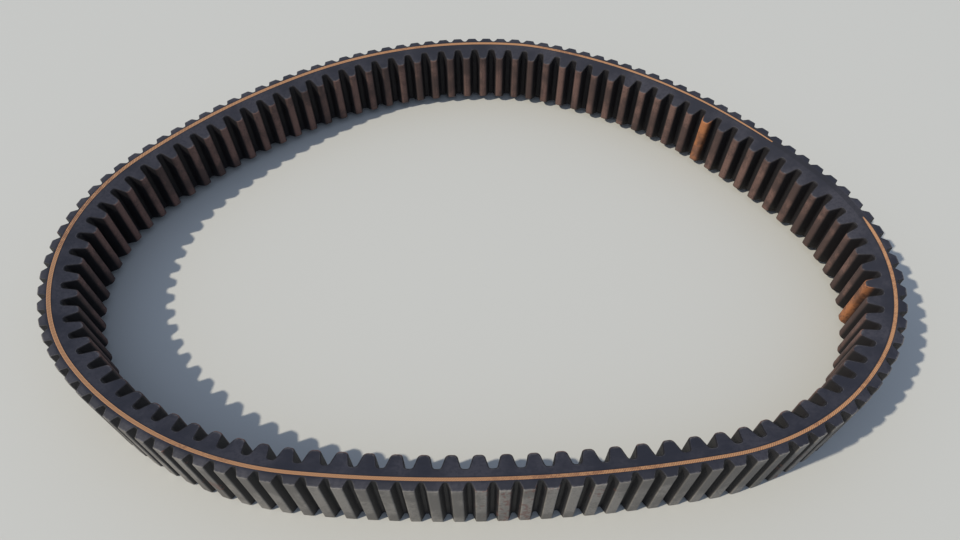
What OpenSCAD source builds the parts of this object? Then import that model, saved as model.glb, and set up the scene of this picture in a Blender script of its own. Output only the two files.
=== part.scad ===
// Double-cogged, raw-edge V-belt of a continuously variable transmission, lying on its side.
// The belt is one closed loop. It is built up in bonded layers round a spirally wound cord,
// and its two sides are cut through all the layers after curing.
// A place on the belt is (along, offset): the length along the cord line, counted anticlockwise
// from the front of the loop, and the distance from that line, positive towards the outside.

/* [Loop] */
// Length of the loop, measured along the cord
loop_len = 1070; // [900:1:1300]

/* [Section] */
// Width of the belt at its widest line, just outside the cord
belt_w = 37.5; // [34:0.1:41]
// Angle of each side below that line, measured from the belt's mid plane's normal
flank_angle = 19; // [12:0.5:21]
// Distance from the cord line out to the widest line
ridge_offset = 1.7; // [1.6:0.05:2.4]
// Angle by which the ends of the outer cogs fall back above the widest line
relief_angle = 7; // [3:0.5:12]

/* [Cord] */
// Diameter of the tensile cord
cord_d = 1.6; // [1.1:0.05:1.6]
// Turns of cord from one side of the belt to the other
cord_turns = 21; // [16:1:21]

/* [Layers] */
// Gum between the cord and the outer rubber
gum_cover_out = 0.2; // [0.15:0.05:0.3]
// Gum between the cord and the inner rubber
gum_cover_in = 0.5; // [0.3:0.05:1]
// Thickness of the fabric that faces the outer cogs
outer_fabric = 0.35; // [0.2:0.05:0.4]
// Thickness of the fabric that faces the inner cogs
inner_fabric = 0.5; // [0.3:0.05:0.7]

/* [Inner cogs] */
// Number of inner cogs round the loop
inner_cogs = 98; // [80:1:104]
// Distance from the cord line in to the floor of the inner gullets
inner_floor = 4.7; // [3.6:0.1:6]
// Depth of the inner gullets
inner_depth = 6.5; // [5:0.1:7]
// Radius at each side of the gullet floor
inner_floor_r = 1.3; // [0.8:0.05:1.5]
// Half of the flat between those radii
inner_floor_flat = 0.5; // [0.2:0.05:0.7]
// Radius of the cog's rounded corners
inner_tip_r = 2; // [1.2:0.05:2.2]
// Slope of the cog's faces from the normal
inner_slope = 15; // [8:0.5:17]
// Where the first inner gullet lies along the loop
inner_phase = 0.1; // [0:0.1:11]

/* [Outer cogs] */
// Number of outer cogs round the loop
outer_cogs = 119; // [96:1:124]
// Distance from the cord line out to the floor of the outer gullets
outer_floor = 1.6; // [1.6:0.05:2.2]
// Depth of the outer gullets
outer_depth = 3.4; // [2.8:0.1:3.9]
// Radius at each side of the gullet floor
outer_floor_r = 0.8; // [0.5:0.05:1]
// Half of the flat between those radii
outer_floor_flat = 0.25; // [0.1:0.05:0.4]
// Radius of the cog's corners
outer_tip_r = 0.5; // [0.45:0.05:0.8]
// Slope of the cog's faces from the normal
outer_slope = 26; // [18:0.5:28]
// Where the first outer gullet lies along the loop
outer_phase = 4.2; // [0:0.1:9]

/* [Hidden] */
$fn = 256;

// The loop at rest is ten arcs, each tangent to the next, given as [sweep, radius] and drawn
// to the size of a loop of about 1070. The last two radii are the ones that close it.
LAY = [[15, 644], [42, 124], [69, 92], [13, 304], [28, 237], [13, 100], [38, 199], [21, 293],
       [82, 0], [39, 0]];
lay_heading = -5.5;    // direction in which the first arc sets off
arcs = len(LAY);
solved = arcs - 2;     // first of the two arcs whose radii are solved

function sum(list, count, i = 0) = i >= count ? 0 : list[i] + sum(list, count, i + 1);
sweeps = [for (arc = LAY) arc[0]];
headings = [for (i = [0 : arcs]) lay_heading + sum(sweeps, i)];
// Travel from end to end of each arc, for a radius of 1
spans = [for (i = [0 : arcs - 1])
    [sin(headings[i + 1]) - sin(headings[i]), cos(headings[i]) - cos(headings[i + 1])]];
open_gap = [for (axis = [0, 1])
    -sum([for (i = [0 : solved - 1]) LAY[i][1] * spans[i][axis]], solved)];
function cross2(a, b) = a[0] * b[1] - a[1] * b[0];
closing = cross2(spans[solved], spans[solved + 1]);
drawn_radii = concat([for (i = [0 : solved - 1]) LAY[i][1]],
    [cross2(open_gap, spans[solved + 1]) / closing, cross2(spans[solved], open_gap) / closing]);
drawn_len = sum([for (i = [0 : arcs - 1]) drawn_radii[i] * sweeps[i] * PI / 180], arcs);
radii = [for (radius = drawn_radii) radius * loop_len / drawn_len];
lengths = [for (i = [0 : arcs - 1]) radii[i] * sweeps[i] * PI / 180];
starts = [for (i = [0 : arcs]) sum(lengths, i)];
arc_from = [for (i = [0 : arcs])
    [for (axis = [0, 1]) sum([for (j = [0 : arcs - 1]) radii[j] * spans[j][axis]], i)]];
centres = [for (i = [0 : arcs - 1])
    arc_from[i] + radii[i] * [-sin(headings[i]), cos(headings[i])]];

// A place on the bent belt: which arc holds it, and its point in plan
function wrapped(along) = along - loop_len * floor(along / loop_len);
function arc_at(along, i = 0) = i == arcs - 1 || along < starts[i + 1] ? i : arc_at(along, i + 1);
function on_arc(i, along, offset) =
    let (heading = headings[i] + (along - starts[i]) / radii[i] * 180 / PI)
    centres[i] + (radii[i] + offset) * [sin(heading), -cos(heading)];
function bent(along, offset) =
    let (place = wrapped(along))
    on_arc(arc_at(place), place, offset);

// Cog rows: side, cogs, phase, floor, depth, floor radius, half flat, tip radius, slope, and
// the flats that stand for each corner's arc at the floor and at the tip
INNER = [-1, inner_cogs, inner_phase, inner_floor, inner_depth, inner_floor_r,
         inner_floor_flat, inner_tip_r, inner_slope, 2, 2];
OUTER = [1, outer_cogs, outer_phase, outer_floor, outer_depth, outer_floor_r,
         outer_floor_flat, outer_tip_r, outer_slope, 2, 1];

// Right half of a gullet from its floor up to the land, as [aside, up] from the floor's middle.
// Both corners are arcs that meet the sloping face at its tangent points, so a surface that
// lies inset below the first one only changes their radii.
function half_gullet(row, inset) =
    let (depth = row[4], floor_r = row[5], flat = row[6], tip_r = row[7], slope = row[8],
         square_to_face = [cos(slope), -sin(slope)],
         face_len = (depth - tip_r - floor_r + (floor_r + tip_r) * sin(slope)) / cos(slope),
         floor_centre = [flat, floor_r],
         tip_centre = floor_centre + (floor_r + tip_r) * square_to_face
             + face_len * [sin(slope), cos(slope)],
         turn = 90 - slope, floor_steps = row[9], tip_steps = row[10])
    concat(
        [for (i = [0 : floor_steps]) let (a = turn * i / floor_steps)
            floor_centre + (floor_r + inset) * [sin(a), -cos(a)]],
        [for (i = [0 : tip_steps]) let (a = turn * (1 - i / tip_steps))
            tip_centre + (tip_r - inset) * [-sin(a), cos(a)]]);
function whole_gullet(half) =
    concat([for (i = [len(half) - 1 : -1 : 0]) [-half[i][0], half[i][1]]], half);
// The row's surface in plan, from one gullet to another
function outline(row, inset, first, last) =
    let (gullet = whole_gullet(half_gullet(row, inset)), pitch = loop_len / row[1])
    [for (cog = [first : last], point = gullet)
        bent(row[2] + cog * pitch + point[0], row[0] * (row[3] + point[1]))];
// The gullets that one arc needs: its own, and one more past each end
function first_gullet(row, i) = floor((starts[i] - row[2]) * row[1] / loop_len) - 1;
function last_gullet(row, i) = ceil((starts[i + 1] - row[2]) * row[1] / loop_len) + 1;

// The loop stands over the middle of its own extent
outer_surface = outline(OUTER, 0, 0, outer_cogs - 1);
xs = [for (point = outer_surface) point[0]];
ys = [for (point = outer_surface) point[1]];
middle = [(min(xs) + max(xs)) / 2, (min(ys) + max(ys)) / 2];

// Section across the belt, as [offset, height] with the lower ridge at height 0
cord_r = cord_d / 2;
outer_tip = outer_floor + outer_depth;
inner_tip = inner_floor + inner_depth;
trim = 2;                  // how far the layers' blanks run past the cogs' tips
hair = 0.01;               // how much larger every second arc is
function side_rise(offset) = offset < ridge_offset
    ? (ridge_offset - offset) * tan(flank_angle)
    : (offset - ridge_offset) * tan(relief_angle);
module section(from, to, i) {
    grow = i % 2 == 0 ? 0 : hair;
    low = from - grow;
    high = to + grow;
    ridge = low < ridge_offset && ridge_offset < high ? [ridge_offset] : [];
    offsets = concat([low], ridge, [high]);
    last = len(offsets) - 1;
    polygon(concat(
        [for (offset = offsets) [offset, side_rise(offset) - grow]],
        [for (k = [last : -1 : 0]) [offsets[k], belt_w - side_rise(offsets[k]) + grow]]));
}

// Each turn of the cord climbs by one pitch round the loop, in equal steps where arcs meet
cord_low = side_rise(0);
seat = 2 * hair;           // clearance between the turns and the gum sheets
cord_flats = 8;            // flats round one turn's section
cord_pitch = (belt_w - 2 * cord_low) / cord_turns;
climbs = 3;                // steps in one turn
first_arc = arcs - 1;      // the winding starts where this arc does
function climb(i) =
    let (wound = wrapped(starts[i] + lengths[i] / 2 - starts[first_arc]) / loop_len)
    cord_pitch * (floor(wound * climbs) + 0.5) / climbs;
module turns(i) {
    for (turn = [-1 : cord_turns])
        translate([0, cord_low + turn * cord_pitch + climb(i)])
            circle(d = cord_d + (i % 2) * hair, $fn = cord_flats);
}

// One arc of the loop, swept from a section drawn in [offset, height]. The arcs lap into each
// other, and every second one is larger by a hair, so that they join into one solid.
lap = 0.3;
module arc_of(i) {
    lap_angle = lap / radii[i] * 180 / PI;
    translate([centres[i][0] - middle[0], centres[i][1] - middle[1], 0])
        rotate_extrude(angle = sweeps[i] + 2 * lap_angle, start = headings[i] - 90 - lap_angle)
            translate([radii[i], 0])
                children();
}
module upright() {
    translate([-middle[0], -middle[1], -trim])
        linear_extrude(belt_w + 2 * trim)
            children();
}

// The open space beyond a row of cogs, along one arc
module clearing(row, inset, i) {
    first = first_gullet(row, i);
    last = last_gullet(row, i);
    pitch = loop_len / row[1];
    beyond = row[0] * (row[3] + row[4] + 2 * trim);
    upright() polygon(concat(
        outline(row, inset, first, last),
        [for (cog = [last + 0.5 : -0.5 : first - 0.5]) bent(row[2] + cog * pitch, beyond)]));
}
// The facing's own thickness, along one arc
module skin(row, inset, i) {
    first = first_gullet(row, i);
    last = last_gullet(row, i);
    surface = outline(row, 0, first, last);
    upright() polygon(concat(
        outline(row, inset, first, last),
        [for (k = [len(surface) - 1 : -1 : 0]) surface[k]]));
}

module outer_facing() {
    color("dimgray")
        for (i = [0 : arcs - 1])
            intersection() {
                arc_of(i) section(cord_r, outer_tip + trim, i);
                skin(OUTER, outer_fabric, i);
            }
}

module overcord_rubber() {
    color([0.13, 0.13, 0.14])
        for (i = [0 : arcs - 1])
            difference() {
                arc_of(i) section(cord_r + gum_cover_out, outer_tip + trim, i);
                clearing(OUTER, outer_fabric, i);
            }
}

module outer_gum() {
    color([0.16, 0.17, 0.19])
        for (i = [0 : arcs - 1])
            arc_of(i) section(cord_r + seat, cord_r + gum_cover_out, i);
}

module tensile_cord() {
    color("peru")
        for (i = [0 : arcs - 1])
            arc_of(i) intersection() {
                section(-cord_d, cord_d, i);
                turns(i);
            }
}

module inner_gum() {
    color([0.16, 0.17, 0.19])
        for (i = [0 : arcs - 1])
            arc_of(i) section(-cord_r - gum_cover_in, -cord_r - seat, i);
}

module undercord_rubber() {
    color([0.15, 0.16, 0.18])
        for (i = [0 : arcs - 1])
            difference() {
                arc_of(i) section(-inner_tip - trim, -cord_r - gum_cover_in, i);
                clearing(INNER, inner_fabric, i);
            }
}

module inner_facing() {
    color([0.25, 0.2, 0.18])
        for (i = [0 : arcs - 1])
            intersection() {
                arc_of(i) section(-inner_tip - trim, -cord_r, i);
                skin(INNER, inner_fabric, i);
            }
}

outer_facing();
overcord_rubber();
outer_gum();
tensile_cord();
inner_gum();
undercord_rubber();
inner_facing();
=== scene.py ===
"""A double-cogged, raw-edge V-belt of a variable-speed drive, lying on its side. Lengths are
in millimetres until a mesh is made of them. A place on the belt is (along, offset): the length
along the cord, anticlockwise from the front, and the distance from it, positive outwards."""

import bpy
import numpy as np
from mathutils import Matrix, Vector


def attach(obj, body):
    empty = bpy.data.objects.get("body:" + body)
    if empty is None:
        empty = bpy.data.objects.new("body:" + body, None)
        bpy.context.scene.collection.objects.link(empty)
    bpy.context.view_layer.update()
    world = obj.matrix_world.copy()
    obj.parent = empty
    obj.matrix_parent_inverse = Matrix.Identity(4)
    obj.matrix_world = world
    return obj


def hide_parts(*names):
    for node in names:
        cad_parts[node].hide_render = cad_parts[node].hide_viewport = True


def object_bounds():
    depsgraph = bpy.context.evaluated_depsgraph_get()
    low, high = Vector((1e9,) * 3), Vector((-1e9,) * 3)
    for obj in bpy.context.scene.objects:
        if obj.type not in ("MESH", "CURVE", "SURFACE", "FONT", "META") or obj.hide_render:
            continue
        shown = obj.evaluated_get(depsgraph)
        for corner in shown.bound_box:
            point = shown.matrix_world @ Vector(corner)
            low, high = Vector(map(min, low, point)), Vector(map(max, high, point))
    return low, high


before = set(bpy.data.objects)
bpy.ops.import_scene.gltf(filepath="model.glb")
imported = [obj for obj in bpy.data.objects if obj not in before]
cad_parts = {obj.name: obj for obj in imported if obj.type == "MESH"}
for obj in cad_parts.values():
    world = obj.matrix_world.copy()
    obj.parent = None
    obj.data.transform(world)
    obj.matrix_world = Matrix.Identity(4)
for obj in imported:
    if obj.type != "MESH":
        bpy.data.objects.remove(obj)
cad_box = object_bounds()

# --- The loop ------------------------------------------------------------------------------
# The belt is cured as one endless band on a drum, so it has no splice. Off its pulleys it
# lies as ten arcs, each tangent to the next, of which the last two close the loop. Both
# sides are ground to the pulleys' angle, and fall back a little above the widest line.
MM = 0.001
LOOP_LENGTH = 1070.0
SWEEPS = np.radians([15, 42, 69, 13, 28, 13, 38, 21, 82, 39])
DRAWN_RADII = np.array([644.0, 124, 92, 304, 237, 100, 199, 293])
FIRST_HEADING = np.radians(-5.5)
BELT_WIDTH = (cad_box[1].z - cad_box[0].z) / MM
RIDGE_OFFSET = 1.7
FLANK_SLOPE = np.tan(np.radians(19))
RELIEF_SLOPE = np.tan(np.radians(7))

headings = FIRST_HEADING + np.append(0, np.cumsum(SWEEPS))
travel = np.stack([np.diff(np.sin(headings)), -np.diff(np.cos(headings))], axis=1)
given = len(DRAWN_RADII)
closing_radii = np.linalg.solve(travel[given:].T, -DRAWN_RADII @ travel[:given])
radii = np.append(DRAWN_RADII, closing_radii)
radii *= LOOP_LENGTH / (radii @ SWEEPS)
arc_ends = np.append(0, np.cumsum(radii * SWEEPS))
arc_starts = np.cumsum(np.vstack([[0, 0], radii[:, None] * travel]), axis=0)[:-1]
arc_sides = np.stack([-np.sin(headings[:-1]), np.cos(headings[:-1])], axis=1)
centres = arc_starts + radii[:, None] * arc_sides


def plan(along, offset):
    """A place's plan point: its arc's centre, and from there the arc's radius plus the offset
    along the belt's own outward normal."""
    along = np.mod(along, LOOP_LENGTH)
    arc = np.clip(np.searchsorted(arc_ends, along, side="right") - 1, 0, len(radii) - 1)
    heading = headings[arc] + (along - arc_ends[arc]) / radii[arc]
    outward = np.stack([np.sin(heading), -np.cos(heading)], axis=-1)
    return centres[arc] + (radii[arc] + offset)[..., None] * outward


def side_rise(offset):
    """How far a side lies inside the belt's full width: nought at the ridge, and growing in
    proportion to the distance from it, faster inwards than outwards."""
    away = offset - RIDGE_OFFSET
    return np.where(away < 0, -away * FLANK_SLOPE, away * RELIEF_SLOPE)


# --- The outer cogs' rubber ----------------------------------------------------------------
# A hard fibre-filled rubber moulded into shallow cogs with straight faces, on the outside of
# the cord. Its cut ends show as dark slate facets, with a fine grain from the grinding.
CORD_RADIUS = 0.8
GUM_OUTSIDE = 0.2
OUTER_COGS = 119
OUTER_PHASE = 4.2
OUTER_FLOOR = 1.6
OUTER_DEPTH = 3.4
OUTER_CLOTH = 0.35
OUTER_SHAPE = dict(depth=OUTER_DEPTH, floor_radius=0.8, half_flat=0.25, tip_radius=0.5,
                   lean=np.radians(26))


def cog_outline(cogs, phase, inset, depth, floor_radius, half_flat, tip_radius, lean,
                corner_steps=5, land_steps=3):
    """One row of cogs as arrays of length along and of height above the gullet floor. Half a
    gullet is a flat, an arc, a face that leans from the normal, an arc and half a land; it is
    mirrored, and repeated once a pitch. An inset surface only changes the arcs' radii."""
    pitch = LOOP_LENGTH / cogs
    turn = np.pi / 2 - lean
    face = (depth - tip_radius - floor_radius
            + (floor_radius + tip_radius) * np.sin(lean)) / np.cos(lean)
    floor_centre = np.array([half_flat, floor_radius])
    square_to_face = np.array([np.cos(lean), -np.sin(lean)])
    up_face = np.array([np.sin(lean), np.cos(lean)])
    tip_centre = floor_centre + (floor_radius + tip_radius) * square_to_face + face * up_face
    rising = turn * np.linspace(0, 1, corner_steps + 1)[:, None]
    falling = rising[::-1]
    floor_arc = floor_centre + (floor_radius + inset) * np.hstack([np.sin(rising), -np.cos(rising)])
    tip_arc = tip_centre + (tip_radius - inset) * np.hstack([-np.sin(falling), np.cos(falling)])
    land = np.linspace(tip_arc[-1], [pitch / 2, depth - inset], land_steps + 1)[1:]
    half = np.vstack([[[0, -inset]], floor_arc, tip_arc, land])
    whole = np.vstack([half[::-1] * [-1, 1], half[1:-1]])
    along = phase + (np.arange(cogs)[:, None] * pitch + whole[:, 0]).ravel()
    return along, np.tile(whole[:, 1], cogs)


def closed_band(name, along, offset, height, path, **marks):
    """A band round the loop from grids [column, ring point] of place and height. It closes on
    itself round the loop and round each ring. Its UV map holds metres along the path and
    round the ring, and each mark becomes a point attribute."""
    ground = plan(along, offset) - loop_middle
    points = np.dstack([ground, height])
    columns, ring = height.shape
    index = np.arange(columns * ring).reshape(columns, ring)
    after = np.roll(index, -1, axis=0)
    faces = np.stack([index, after, np.roll(after, -1, axis=1), np.roll(index, -1, axis=1)], axis=-1)
    steps = np.linalg.norm(np.roll(points[0], -1, axis=0) - points[0], axis=1)
    round_ring = np.append(0, np.cumsum(steps))
    u = np.broadcast_to(path[:, None], (columns, ring))
    v_low = np.broadcast_to(round_ring[:-1], (columns, ring))
    v_high = np.broadcast_to(round_ring[1:], (columns, ring))
    u_after = np.roll(u, -1, axis=0).copy()
    u_after[-1] = 2 * path[-1] - path[-2]
    corners = np.stack([np.stack([u, v_low], -1), np.stack([u_after, v_low], -1),
                        np.stack([u_after, v_high], -1), np.stack([u, v_high], -1)], axis=2)
    mesh = bpy.data.meshes.new(name)
    mesh.vertices.add(columns * ring)
    mesh.vertices.foreach_set("co", (points * MM).ravel())
    mesh.loops.add(faces.size)
    mesh.loops.foreach_set("vertex_index", faces.ravel())
    mesh.polygons.add(faces.size // 4)
    mesh.polygons.foreach_set("loop_start", np.arange(0, faces.size, 4))
    mesh.polygons.foreach_set("use_smooth", np.ones(faces.size // 4, dtype=bool))
    mesh.update(calc_edges=True)
    mesh.uv_layers.new(name="UVMap").data.foreach_set("uv", (corners * MM).ravel())
    for mark, values in marks.items():
        layer = mesh.attributes.new(mark, "FLOAT", "POINT")
        layer.data.foreach_set("value", np.broadcast_to(values, height.shape).ravel())
    mesh.set_sharp_from_angle(angle=np.radians(34))
    piece = bpy.data.objects.new(name, mesh)
    bpy.context.collection.objects.link(piece)
    return piece


def path_length(along, offset):
    """Length walked on the surface from the first column to each column."""
    ground = plan(along, offset)
    return np.append(0, np.cumsum(np.linalg.norm(np.diff(ground, axis=0), axis=1)))


def side_layer(name, along, near, far, levels, material):
    """A rubber layer between two distances from the cord. Its ring runs out over the lower
    side and back over the upper one, and rim marks how near a point is to the layer's far
    surface."""
    far = np.broadcast_to(far, along.shape)
    reach = np.concatenate([levels, levels[::-1]])
    offset = near + (far - near)[:, None] * reach
    rise = side_rise(offset)
    half = len(levels)
    height = rise.copy()
    height[:, half:] = BELT_WIDTH - rise[:, half:]
    if far[0] < near:
        offset, height, reach = offset[:, ::-1], height[:, ::-1], reach[::-1]
    piece = closed_band(name, along[:, None], offset, height, along, rim=reach)
    piece.data.materials.append(material)
    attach(piece, "root")
    return piece


def new_material(name):
    """A material with only its shader, and the shader."""
    material = bpy.data.materials.new(name)
    material.use_nodes = True
    return material, material.node_tree.nodes["Principled BSDF"]


def put(tree, kind, inputs=None, **settings):
    """Adds a node to a tree with its settings, and sets or wires its inputs by name or number."""
    node = tree.nodes.new(kind)
    for key, value in settings.items():
        setattr(node, key, value)
    for key, value in (inputs or {}).items():
        if isinstance(value, bpy.types.NodeSocket):
            tree.links.new(value, node.inputs[key])
        else:
            node.inputs[key].default_value = value
    return node


def ramp(tree, value, low, high, out_low=0.0, out_high=1.0):
    """A smooth step of a value from one level to another."""
    node = put(tree, "ShaderNodeMapRange", {0: value, 1: low, 2: high, 3: out_low, 4: out_high},
               interpolation_type="SMOOTHSTEP")
    return node.outputs[0]


def blend_colour(tree, share, first, second):
    """A colour between two others, each a socket or a plain colour."""
    node = put(tree, "ShaderNodeMix", {0: share, 6: first, 7: second}, data_type="RGBA")
    return node.outputs[2]


def times(tree, first, second):
    """The product of two values."""
    return put(tree, "ShaderNodeMath", {0: first, 1: second}, operation="MULTIPLY").outputs[0]


def effect(name, inputs, outputs):
    """A node group with named inputs, None for a vector or a number, and named outputs."""
    tree = bpy.data.node_groups.new(name, "ShaderNodeTree")
    for key, value in inputs.items():
        kind = "NodeSocketVector" if value is None else "NodeSocketFloat"
        socket = tree.interface.new_socket(key, in_out="INPUT", socket_type=kind)
        if value is not None:
            socket.default_value = value
    for key in outputs:
        tree.interface.new_socket(key, in_out="OUTPUT", socket_type="NodeSocketFloat")
    source = tree.nodes.new("NodeGroupInput")
    result = tree.nodes.new("NodeGroupOutput")
    return tree, source.outputs, result.inputs


# Blotches: soft patches broken up by fine specks, used for dust, stains, and patches of painted
# light and shade.
blotches, given_in, result = effect("blotches", {"Place": None, "Patch": 60.0, "Speck": 900.0},
                                    ["Mask", "Fine"])
patch = put(blotches, "ShaderNodeTexNoise", {"Vector": given_in["Place"], "Scale": given_in["Patch"],
                                             "Detail": 4.0, "Roughness": 0.6})
speck = put(blotches, "ShaderNodeTexNoise", {"Vector": given_in["Place"], "Scale": given_in["Speck"],
                                             "Detail": 2.0, "Roughness": 0.7})
patches = ramp(blotches, patch.outputs[0], 0.38, 0.64)
broken = times(blotches, patches, ramp(blotches, speck.outputs[0], 0.3, 0.6, 0.35, 1.0))
blotches.links.new(broken, result["Mask"])
blotches.links.new(ramp(blotches, speck.outputs[0], 0.36, 0.66), result["Fine"])

# Grinding: long fine scratches that follow the belt.
grinding, given_in, result = effect("grinding", {"Track": None}, ["Height"])
stretched = put(grinding, "ShaderNodeMapping", {0: given_in["Track"], 3: (90.0, 2600.0, 1.0)})
scratches = put(grinding, "ShaderNodeTexNoise", {"Vector": stretched.outputs[0], "Scale": 1.0,
                                                 "Detail": 3.0, "Roughness": 0.65})
grinding.links.new(scratches.outputs[0], result["Height"])

CUT_SLATE = (0.018, 0.018, 0.026, 1)
CUT_DUST = (0.042, 0.040, 0.050, 1)
WORN_RIM = (0.120, 0.112, 0.112, 1)
RIM_WIDTH = 0.12


def cut_rubber(name, base, dust, rim_level):
    """Ground rubber: slate, with a little dust in patches, and paler where its far rim has
    been rubbed."""
    material, shader = new_material(name)
    tree = material.node_tree
    place = put(tree, "ShaderNodeTexCoord").outputs["Object"]
    track = put(tree, "ShaderNodeUVMap", uv_map="UVMap").outputs[0]
    rim = put(tree, "ShaderNodeAttribute", attribute_name="rim").outputs["Fac"]
    patches = put(tree, "ShaderNodeGroup", {"Place": place, "Patch": 45.0, "Speck": 700.0},
                  node_tree=blotches)
    marks = put(tree, "ShaderNodeGroup", {"Track": track}, node_tree=grinding)
    colour = blend_colour(tree, patches.outputs["Mask"], base, dust)
    rubbed = times(tree, ramp(tree, rim, rim_level, rim_level + RIM_WIDTH), patches.outputs["Fine"])
    colour = blend_colour(tree, rubbed, colour, WORN_RIM)
    bump = put(tree, "ShaderNodeBump", {"Height": marks.outputs["Height"], "Strength": 0.5,
                                        "Distance": 0.00008})
    tree.links.new(colour, shader.inputs["Base Color"])
    tree.links.new(ramp(tree, marks.outputs["Height"], 0.3, 0.7, 0.50, 0.68),
                   shader.inputs["Roughness"])
    tree.links.new(bump.outputs[0], shader.inputs["Normal"])
    shader.inputs["Specular IOR Level"].default_value = 0.4
    return material


outer_along, outer_up = cog_outline(OUTER_COGS, OUTER_PHASE, 0.0, **OUTER_SHAPE)
extent = plan(outer_along, OUTER_FLOOR + outer_up)
frame_middle = np.array([cad_box[0].x + cad_box[1].x, cad_box[0].y + cad_box[1].y]) / 2 / MM
loop_middle = (extent.min(axis=0) + extent.max(axis=0)) / 2 - frame_middle

outer_under = cog_outline(OUTER_COGS, OUTER_PHASE, OUTER_CLOTH, **OUTER_SHAPE)
outer_rubber = side_layer(
    "outer_cog_rubber", outer_under[0], CORD_RADIUS + GUM_OUTSIDE, OUTER_FLOOR + outer_under[1],
    np.array([0, 0.12, 0.3, 0.55, 0.8, 0.93, 1.0]),
    cut_rubber("overcord", CUT_SLATE, CUT_DUST, 0.85))
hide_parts("overcord_rubber")

# --- The outer facing ----------------------------------------------------------------------
# A thin woven fabric soaked in rubber, moulded over the outer cogs and cured with them. Its
# lands are painted grey, partly as road dust and partly as painted light, and its cogs' faces
# and gullets are painted dark, partly as painted shade.
CORNER_WEAR = 0.35
LAND_WAVER = 0.05
WAVER_STATIONS = 240
END_ROWS = np.array([0, 0.06, 0.17, 0.35, 1.5])
MIDDLE_ROWS = 7
# Painted light and shade: the lands' grey is partly road dust and partly painted light, and the
# near-black of the gullets and cogs' faces is partly painted shade.
OUTER_BLACK_AND_SHADE = (0.014, 0.013, 0.014, 1)
OUTER_DUST_AND_LIGHT = (0.315, 0.290, 0.255, 1)
OUTER_RED = (0.160, 0.062, 0.045, 1)


def facing(name, side, floor, thickness, outline, under_outline, depth, seed, **marks):
    """A cloth facing between two cog outlines. Each ring runs over the surface from one side
    of the belt to the other and back under it. Its corners are rounded as if rubbed, and
    each land wavers a little in height. rise is 0 in the gullets and 1 on the lands."""
    (along, up), (under_along, under_up) = outline, under_outline
    chance = np.random.default_rng(seed)
    rise = np.clip(up / depth, 0, 1)
    stations = np.linspace(0, LOOP_LENGTH, WAVER_STATIONS)
    waver = LAND_WAVER * rise * np.interp(np.mod(along, LOOP_LENGTH), stations,
                                          chance.uniform(-1, 0, len(stations)))
    offset = side * (floor + up + waver)
    low = side_rise(offset)
    span = BELT_WIDTH - 2 * low
    middle = np.linspace(0, 1, MIDDLE_ROWS + 2)[1:-1]
    lower = low[:, None] + END_ROWS
    between = low[:, None] + END_ROWS[-1] + (span - 2 * END_ROWS[-1])[:, None] * middle
    upper = (BELT_WIDTH - low)[:, None] - END_ROWS[::-1]
    height = np.hstack([lower, between, upper])
    near_end = np.minimum(height - low[:, None], (BELT_WIDTH - low)[:, None] - height)
    short = np.clip(CORNER_WEAR - near_end, 0, CORNER_WEAR)
    pulled = CORNER_WEAR - np.sqrt(CORNER_WEAR**2 - short**2)
    surface = offset[:, None] - side * np.minimum(pulled, 0.8 * thickness)
    under_offset = side * (floor + under_up)
    under_low = side_rise(under_offset)
    under_height = np.stack([BELT_WIDTH - under_low, under_low], axis=1)
    ring_along = np.hstack([np.repeat(along[:, None], height.shape[1], axis=1),
                            np.repeat(under_along[:, None], 2, axis=1)])
    ring_offset = np.hstack([surface, np.repeat(under_offset[:, None], 2, axis=1)])
    ring_height = np.hstack([height, under_height])
    if side < 0:
        ring_along, ring_offset, ring_height = (
            grid[:, ::-1] for grid in (ring_along, ring_offset, ring_height))
    piece = closed_band(name, ring_along, ring_offset, ring_height, path_length(along, offset),
                        rise=rise[:, None], **{key: value[:, None] for key, value in marks.items()})
    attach(piece, "root")
    return piece


# Weave: a plain weave of rubbered threads, as the product of two waves.
THREAD = 0.5
WAVE_PERIOD = 0.314       # length of one wave of Blender's wave texture at scale 1
weave, given_in, result = effect("weave", {"Cloth": None}, ["Height"])
THREAD_WAVES = {"Vector": given_in["Cloth"], "Scale": WAVE_PERIOD / (THREAD * MM), "Distortion": 0.6}
warp = put(weave, "ShaderNodeTexWave", THREAD_WAVES, bands_direction="X")
weft = put(weave, "ShaderNodeTexWave", THREAD_WAVES, bands_direction="Y")
weave.links.new(times(weave, warp.outputs["Fac"], weft.outputs["Fac"]), result["Height"])


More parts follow.
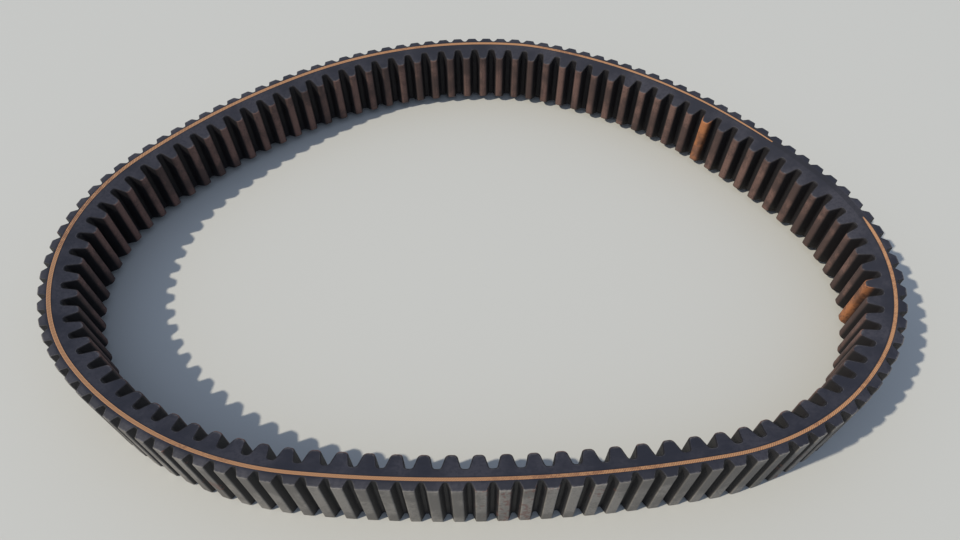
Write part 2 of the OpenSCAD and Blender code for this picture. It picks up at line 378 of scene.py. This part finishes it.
def rubbered_cloth(name, dark, land_colour, stain, stain_share, dust_level):
    """Rubbered cloth: dark in the gullets and lighter on the lands in dusty patches, stained in
    places, and woven. On the outer facing the lighter lands are partly painted light and the dark
    gullets partly painted shade.
    """
    material, shader = new_material(name)
    tree = material.node_tree
    place = put(tree, "ShaderNodeTexCoord").outputs["Object"]
    cloth = put(tree, "ShaderNodeUVMap", uv_map="UVMap").outputs[0]
    rise = put(tree, "ShaderNodeAttribute", attribute_name="rise").outputs["Fac"]
    patches = put(tree, "ShaderNodeGroup", {"Place": place, "Patch": 40.0, "Speck": 1100.0},
                  node_tree=blotches)
    stains = put(tree, "ShaderNodeGroup", {"Place": place, "Patch": 26.0, "Speck": 420.0},
                 node_tree=blotches)
    threads = put(tree, "ShaderNodeGroup", {"Cloth": cloth}, node_tree=weave)
    # The lands take the land colour and the rest the dark colour: on the outer facing this is partly
    # painted light on the lands and painted shade in the gullets.
    land = ramp(tree, rise, 0.82, 1.0)
    dust = times(tree, land, ramp(tree, patches.outputs["Mask"], 0.0, 0.8, dust_level, 1.0))
    dust = times(tree, dust, ramp(tree, threads.outputs["Height"], 0.0, 0.6, 0.7, 1.0))
    colour = blend_colour(tree, dust, dark, land_colour)
    stained = times(tree, ramp(tree, rise, 0.35, 0.95), stain_share(tree, stains.outputs["Mask"]))
    colour = blend_colour(tree, stained, colour, stain)
    bump = put(tree, "ShaderNodeBump", {"Height": threads.outputs["Height"], "Strength": 0.6,
                                        "Distance": 0.00012})
    tree.links.new(colour, shader.inputs["Base Color"])
    tree.links.new(ramp(tree, dust, 0.0, 1.0, 0.62, 0.92), shader.inputs["Roughness"])
    tree.links.new(bump.outputs[0], shader.inputs["Normal"])
    shader.inputs["Specular IOR Level"].default_value = 0.35
    return material


def scattered_red(tree, mask):
    """A few reddish threads showing through."""
    return ramp(tree, mask, 0.86, 1.0, 0.0, 0.6)


outer_facing = facing("outer_cog_cloth", 1, OUTER_FLOOR, OUTER_CLOTH, (outer_along, outer_up),
                      outer_under, OUTER_DEPTH, seed=5)
outer_facing.data.materials.append(
    rubbered_cloth("outer_fabric", OUTER_BLACK_AND_SHADE, OUTER_DUST_AND_LIGHT, OUTER_RED, scattered_red, 0.55))
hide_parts("outer_facing")

# --- The cord's gum ------------------------------------------------------------------------
# A soft gum that holds the cord between the cogs' rubbers. Where the sides are ground it
# shows as a darker line on each edge of the cord.
GUM_INSIDE = 0.5
GUM_DARK = (0.014, 0.014, 0.020, 1)
GUM_DUST = (0.026, 0.025, 0.032, 1)

gum_along = np.arange(0, LOOP_LENGTH, 2.0)
gum = side_layer("cord_gum", gum_along, -CORD_RADIUS - GUM_INSIDE, CORD_RADIUS + GUM_OUTSIDE,
                 np.array([0, 0.25, 0.5, 0.75, 1.0]), cut_rubber("gum", GUM_DARK, GUM_DUST, 1.0))
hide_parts("outer_gum", "inner_gum")

# --- The cord ------------------------------------------------------------------------------
# One twisted aramid cord, wound side by side from one edge of the belt to the other. The
# grinding opens its first and last turn, which show as a tan line flush in each side.
CORD_TURNS = 21
CORD_START = 342.0        # along, where the opened turn begins, and from where it runs clockwise
CORD_TRAVEL = 1008.0      # length over which it shows
START_TAPER = 8.0
SMALLEST_TAPER = 0.02
START_LIFT = 0.45         # the opened turn's axis above the cut where it begins, in cord radii
DIP_POWER = 1.6           # how late along its run the opened turn dips under the cut
FIRST_SEAT = 1.2          # height of the winding's first turn, in pitches
FLUSH = 0.02
OPENED_STEP = 1.0
WINDING_STEP = 4.0
WINDING_RING = 8
CORD_TAN = (0.37, 0.165, 0.070, 1)
CORD_BRIGHT = (0.54, 0.29, 0.14, 1)
CORD_SHADE = (0.13, 0.045, 0.028, 1)

cord_low = float(side_rise(np.array(0.0)))
cord_pitch = (BELT_WIDTH - 2 * cord_low) / CORD_TURNS


def tube(name, along, offset, height):
    """A tube along a part of the loop from grids [column, ring point]. It closes round each
    ring, and both ends are drawn in to a point. Its UV map holds metres along and round it."""
    points = np.dstack([plan(along[:, None], offset) - loop_middle, height])
    points[0] = points[0].mean(axis=0)
    points[-1] = points[-1].mean(axis=0)
    columns, ring = height.shape
    index = np.arange(columns * ring).reshape(columns, ring)
    here, after = index[:-1], index[1:]
    faces = np.stack([here, np.roll(here, -1, axis=1), np.roll(after, -1, axis=1), after], axis=-1)
    share = np.linspace(0, 2 * np.pi * CORD_RADIUS, ring + 1)
    u = np.broadcast_to(along[:, None], (columns, ring))
    low = np.broadcast_to(share[:-1], (columns - 1, ring))
    high = np.broadcast_to(share[1:], (columns - 1, ring))
    corners = np.stack([np.stack([u[:-1], low], -1), np.stack([u[:-1], high], -1),
                        np.stack([u[1:], high], -1), np.stack([u[1:], low], -1)], axis=2)
    mesh = bpy.data.meshes.new(name)
    mesh.from_pydata((points * MM).reshape(-1, 3), [], faces.reshape(-1, 4))
    mesh.polygons.foreach_set("use_smooth", np.ones(len(mesh.polygons), dtype=bool))
    mesh.uv_layers.new(name="UVMap").data.foreach_set("uv", (corners * MM).ravel())
    mesh.update()
    piece = bpy.data.objects.new(name, mesh)
    bpy.context.collection.objects.link(piece)
    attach(piece, "root")
    piece.data.materials.append(wound_material)
    return piece


def opened_turn(name, along, depth, radius, upper):
    """The outermost turn, cut flush with a side. depth is how far its axis lies under the cut.
    The ring's points share out the cord's chord in the cut and the arc that is left."""
    half_chord = np.sqrt(np.clip(radius**2 - depth**2, 0, None))
    opening = np.arctan2(half_chord, depth)
    chord = np.linspace(-1, 1, 7)
    arc = np.linspace(0, 1, 13)[1:-1]
    angle = opening[:, None] + arc * (2 * np.pi - 2 * opening[:, None])
    offset = np.hstack([half_chord[:, None] * chord, radius[:, None] * np.sin(angle)])
    lift = np.hstack([np.repeat(depth[:, None], len(chord), axis=1), radius[:, None] * np.cos(angle)])
    in_cut = np.arange(offset.shape[1]) < len(chord)
    inside = np.where(in_cut, side_rise(offset) - FLUSH, cord_low + depth[:, None] - lift)
    height = BELT_WIDTH - inside if upper else inside
    return tube(name, along, offset[:, ::-1], height[:, ::-1])


wound_material, shader = new_material("cord")
tree = wound_material.node_tree
track = put(tree, "ShaderNodeUVMap", uv_map="UVMap").outputs[0]
place = put(tree, "ShaderNodeTexCoord").outputs["Object"]
twist = put(tree, "ShaderNodeMapping", {0: track, 2: (0, 0, np.radians(38))})
strands = put(tree, "ShaderNodeTexWave", {"Vector": twist.outputs[0], "Distortion": 0.8,
                                          "Scale": WAVE_PERIOD / (0.75 * MM)}, bands_direction="X")
# Painted shade: the cord's dim shade colour, painted in random patches over it.
painted_shade_patches = put(tree, "ShaderNodeGroup", {"Place": place, "Patch": 14.0, "Speck": 500.0},
              node_tree=blotches)
colour = blend_colour(tree, strands.outputs["Fac"], CORD_TAN, CORD_BRIGHT)
colour = blend_colour(tree, ramp(tree, painted_shade_patches.outputs["Mask"], 0.5, 1.0, 0.0, 0.45), colour,
                      CORD_SHADE)
bump = put(tree, "ShaderNodeBump", {"Height": strands.outputs["Fac"], "Strength": 0.7,
                                    "Distance": 0.0002})
tree.links.new(colour, shader.inputs["Base Color"])
tree.links.new(bump.outputs[0], shader.inputs["Normal"])
tree.links.new(ramp(tree, strands.outputs["Fac"], 0.0, 1.0, 0.7, 0.55), shader.inputs["Roughness"])

run = np.arange(0, CORD_TRAVEL + OPENED_STEP, OPENED_STEP)
turn_radius = CORD_RADIUS * np.sqrt(np.clip(run / START_TAPER, SMALLEST_TAPER, 1))
axis_depth = turn_radius * (-START_LIFT + (1 + START_LIFT) * (run / CORD_TRAVEL)**DIP_POWER)
opened_turn("opened_turn_upper", CORD_START - run, axis_depth, turn_radius, upper=True)
opened_turn("opened_turn_lower", CORD_START + run, axis_depth, turn_radius, upper=False)

wound = np.arange(0, (CORD_TURNS - 2) * LOOP_LENGTH, WINDING_STEP)
ring_angle = np.linspace(0, 2 * np.pi, WINDING_RING, endpoint=False)
ring_offset = np.broadcast_to(CORD_RADIUS * np.sin(ring_angle), (len(wound), WINDING_RING))
axis_height = cord_low + cord_pitch * (FIRST_SEAT + wound[:, None] / LOOP_LENGTH)
winding = tube("cord_winding", CORD_START + wound, ring_offset,
               axis_height + CORD_RADIUS * np.cos(ring_angle))
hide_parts("tensile_cord")

# --- The inner cogs' rubber ----------------------------------------------------------------
# Deeper, rounded cogs on the inside, which let the belt bend round small pulleys. Their
# ground ends are smooth blue-grey slate, rubbed pale on the rims.
INNER_COGS = 98
INNER_PHASE = 0.1
INNER_FLOOR = 4.7
INNER_DEPTH = 6.5
INNER_CLOTH = 0.5
INNER_SHAPE = dict(depth=INNER_DEPTH, floor_radius=1.3, half_flat=0.5, tip_radius=2.0,
                   lean=np.radians(15), corner_steps=6)

inner_line = cog_outline(INNER_COGS, INNER_PHASE, 0.0, **INNER_SHAPE)
inner_under = cog_outline(INNER_COGS, INNER_PHASE, INNER_CLOTH, **INNER_SHAPE)
inner_rubber = side_layer(
    "inner_cog_rubber", inner_under[0], -CORD_RADIUS - GUM_INSIDE, -INNER_FLOOR - inner_under[1],
    np.array([0, 0.15, 0.35, 0.55, 0.75, 0.9, 0.97, 1.0]),
    cut_rubber("undercord", CUT_SLATE, CUT_DUST, 0.9))
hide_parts("undercord_rubber")

# --- The inner facing ----------------------------------------------------------------------
# The same kind of rubbered cloth, thicker, over the inner cogs. Its lands have browned with
# heat in patches, and two of them have worn to the orange cloth.
INNER_DARK = (0.012, 0.010, 0.011, 1)
INNER_BROWN = (0.200, 0.115, 0.092, 1)
INNER_ORANGE = (0.420, 0.160, 0.060, 1)
WORN_PLACES = (441.0, 304.0)


def worn_lands(along, places):
    """1 on the cogs nearest to some places along the belt, and 0 elsewhere."""
    pitch = LOOP_LENGTH / INNER_COGS
    cog = np.floor((along - INNER_PHASE) / pitch)
    chosen = [np.floor((place - INNER_PHASE) / pitch) for place in places]
    return np.isin(cog, chosen).astype(float)


def browned(tree, mask):
    """Orange cloth showing through where a land is worn."""
    worn = put(tree, "ShaderNodeAttribute", attribute_name="worn").outputs["Fac"]
    return times(tree, worn, ramp(tree, mask, 0.1, 0.6, 0.25, 0.9))


inner_facing = facing("inner_cog_cloth", -1, INNER_FLOOR, INNER_CLOTH, inner_line, inner_under,
                      INNER_DEPTH, seed=9, worn=worn_lands(inner_line[0], WORN_PLACES))
inner_facing.data.materials.append(
    rubbered_cloth("inner_fabric", INNER_DARK, INNER_BROWN, INNER_ORANGE, browned, 0.35))
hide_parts("inner_facing")

# --- Floor, light and camera ---------------------------------------------------------------
# A plain pale board under one high lamp from the front left, with soft light all round.
FLOOR_HALF = 3.0
FLOOR_COLOUR = (0.575, 0.565, 0.520, 1)
SUN_TRAVEL = Vector((0.652, 0.240, -0.719))
SKY = (0.31, 0.38, 0.52, 1)
BACKDROP = (0.80, 0.80, 0.78, 1)

board_mesh = bpy.data.meshes.new("board")
board_mesh.from_pydata([(-FLOOR_HALF, -FLOOR_HALF, 0), (FLOOR_HALF, -FLOOR_HALF, 0),
                        (FLOOR_HALF, FLOOR_HALF, 0), (-FLOOR_HALF, FLOOR_HALF, 0)], [],
                       [(0, 1, 2, 3)])
board = bpy.data.objects.new("board", board_mesh)
bpy.context.collection.objects.link(board)
board_material, shader = new_material("pale_board")
shader.inputs["Base Color"].default_value = FLOOR_COLOUR
shader.inputs["Roughness"].default_value = 0.7
shader.inputs["Specular IOR Level"].default_value = 0.2
board_mesh.materials.append(board_material)

lamp = bpy.data.lights.new("high_lamp", "SUN")
lamp.energy = 2.95
lamp.angle = np.radians(1.5)
lamp.color = (1.0, 0.94, 0.82)
high_lamp = bpy.data.objects.new("high_lamp", lamp)
high_lamp.rotation_mode = "QUATERNION"
high_lamp.rotation_quaternion = SUN_TRAVEL.to_track_quat("-Z", "Y")
bpy.context.collection.objects.link(high_lamp)

world = bpy.data.worlds.new("soft_room")
world.use_nodes = True
bpy.context.scene.world = world
room = world.node_tree
soft = room.nodes["Background"]
soft.inputs["Color"].default_value = SKY
backdrop = put(room, "ShaderNodeBackground", {"Color": BACKDROP})
seen = put(room, "ShaderNodeLightPath").outputs["Is Camera Ray"]
shown = put(room, "ShaderNodeMixShader", {0: seen, 1: soft.outputs[0], 2: backdrop.outputs[0]})
room.links.new(shown.outputs[0], room.nodes["World Output"].inputs["Surface"])

camera_data = bpy.data.cameras.new("camera")
camera_data.sensor_width = 36.0
camera_data.lens = 24.75
camera = bpy.data.objects.new("camera", camera_data)
camera.matrix_world = (Matrix.Translation((0.0050, -0.2282, 0.2830))
                       @ Matrix.Rotation(np.radians(37.29), 4, "X")
                       @ Matrix.Rotation(np.radians(-0.34), 4, "Z"))
bpy.context.collection.objects.link(camera)
bpy.context.scene.camera = camera
bpy.context.scene.view_settings.view_transform = "Standard"

bpy.context.view_layer.update()
